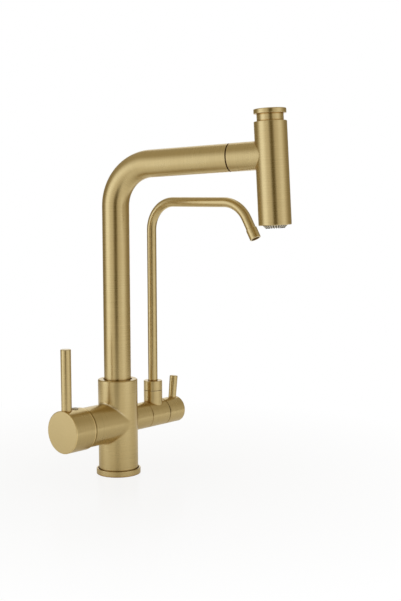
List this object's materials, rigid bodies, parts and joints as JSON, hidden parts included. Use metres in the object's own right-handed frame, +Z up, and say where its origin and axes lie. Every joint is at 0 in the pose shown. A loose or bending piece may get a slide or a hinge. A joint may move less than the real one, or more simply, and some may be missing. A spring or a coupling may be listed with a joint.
{
  "type": "filtered water kitchen tap",
  "caption": "Tall kitchen mixer tap with a pull-out spray head, a side pin lever and a separate swivelling spout and valve for filtered water.",
  "frame": {"origin": "middle of the base's underside, on the worktop or sink deck, on the axis of the body", "axes": "+Z up, +X straight ahead over the sink, +Y towards the filter valve, -Y towards the mixer lever"},
  "size_m": [0.2085, 0.17, 0.3745],
  "materials": {
    "brushed_brass": "fine brushed",
    "plain_brass": "turned",
    "rubber": "matt",
    "silicone": "matt",
    "white_plastic": "satin",
    "grey_plastic": "satin",
    "hose": "satin",
    "ceramic": "lapped",
    "steel": "plain",
    "index_dark": "satin"
  },
  "bodies": {
    "tap_body": {"flange_ring": "brushed_brass", "deck_seal": "rubber", "body": "brushed_brass", "thrust_washer": "white_plastic", "lower_bush": "white_plastic", "wiper_ring": "rubber", "upper_bush": "white_plastic", "stop_screw": "steel", "port_seals": "rubber", "cartridge_base": "white_plastic", "cartridge_housing": "white_plastic", "fixed_disc": "ceramic", "cartridge_nut": "plain_brass", "dome_cover": "brushed_brass", "filter_housing": "brushed_brass", "housing_ring": "rubber", "seat_seal": "rubber", "headwork_body": "plain_brass", "filter_fixed_disc": "ceramic", "filter_bush": "white_plastic", "filter_collar": "brushed_brass"},
    "spout": {"spout_tube": "brushed_brass", "dock_bush": "grey_plastic", "riser_hose": "hose"},
    "spray_head": {"head_shell": "brushed_brass", "head_core": "grey_plastic", "face_holder": "grey_plastic", "spray_face": "silicone", "spray_nozzles": "rubber", "aerator": "steel", "tail_spigot": "plain_brass", "tail_ring": "rubber", "check_valve": "white_plastic", "hose_nut": "plain_brass", "handset_hose": "hose", "stem_seal": "rubber", "button_spring": "steel"},
    "spray_button": {"diverter_button": "brushed_brass", "diverter_stem": "plain_brass"},
    "temperature_rotor": {"rotor": "grey_plastic", "pivot_pin": "steel"},
    "mixer_lever": {"lever_stem": "plain_brass", "handle_cap": "brushed_brass", "pin_lever": "brushed_brass", "cap_screw": "steel", "index_plug": "index_dark"},
    "cartridge_slider": {"moving_disc": "ceramic", "disc_driver": "grey_plastic"},
    "filter_control": {"filter_knob": "brushed_brass", "knob_screw": "steel", "filter_lever": "brushed_brass", "filter_spindle": "plain_brass", "filter_moving_disc": "ceramic"},
    "filter_swivel": {"filter_tube": "brushed_brass", "filter_ferrule": "plain_brass", "ferrule_rings": "rubber", "filter_nozzle": "brushed_brass", "nozzle_screen": "steel"}
  },
  "joints": [
    {"name": "spout_swivel", "type": "hinge", "parent": "tap_body", "child": "spout", "pos_m": [0, 0, 0.09], "axis": [0, 0, 1], "range_deg": [-76, 44]},
    {"name": "head_pull_out", "type": "slide", "parent": "spout", "child": "spray_head", "axis": [0.9599, 0.2753, 0.0523], "range_m": [0, 0.06]},
    {"name": "button_press", "type": "slide", "parent": "spray_head", "child": "spray_button", "axis": [0.0503, 0.0144, -0.9986], "range_m": [0, 0.004], "stiffness_N_per_m": 600, "springref_m": -0.004, "deforming": ["button_spring"]},
    {"name": "temperature_turn", "type": "hinge", "parent": "tap_body", "child": "temperature_rotor", "pos_m": [0, -0.0424, 0.0554], "axis": [0, -1, 0], "range_deg": [-45, 45]},
    {"name": "flow_tilt", "type": "hinge", "parent": "temperature_rotor", "child": "mixer_lever", "pos_m": [0, -0.0424, 0.0554], "axis": [1, 0, 0], "range_deg": [0, 20]},
    {"name": "disc_slide", "type": "slide", "parent": "temperature_rotor", "child": "cartridge_slider", "axis": [0, 0, 1], "range_m": [0, 0.0022]},
    {"name": "filter_turn", "type": "hinge", "parent": "tap_body", "child": "filter_control", "pos_m": [0, 0.0664, 0.0554], "axis": [0, 1, 0], "range_deg": [0, 90]},
    {"name": "filter_spout_swivel", "type": "hinge", "parent": "tap_body", "child": "filter_swivel", "pos_m": [0, 0.0536, 0.08], "axis": [0, 0, 1], "range_deg": [-63, 87]}
  ],
  "couplings": [
    {"joint": "disc_slide", "follows": "flow_tilt", "m_per_rad": 0.006}
  ]
}
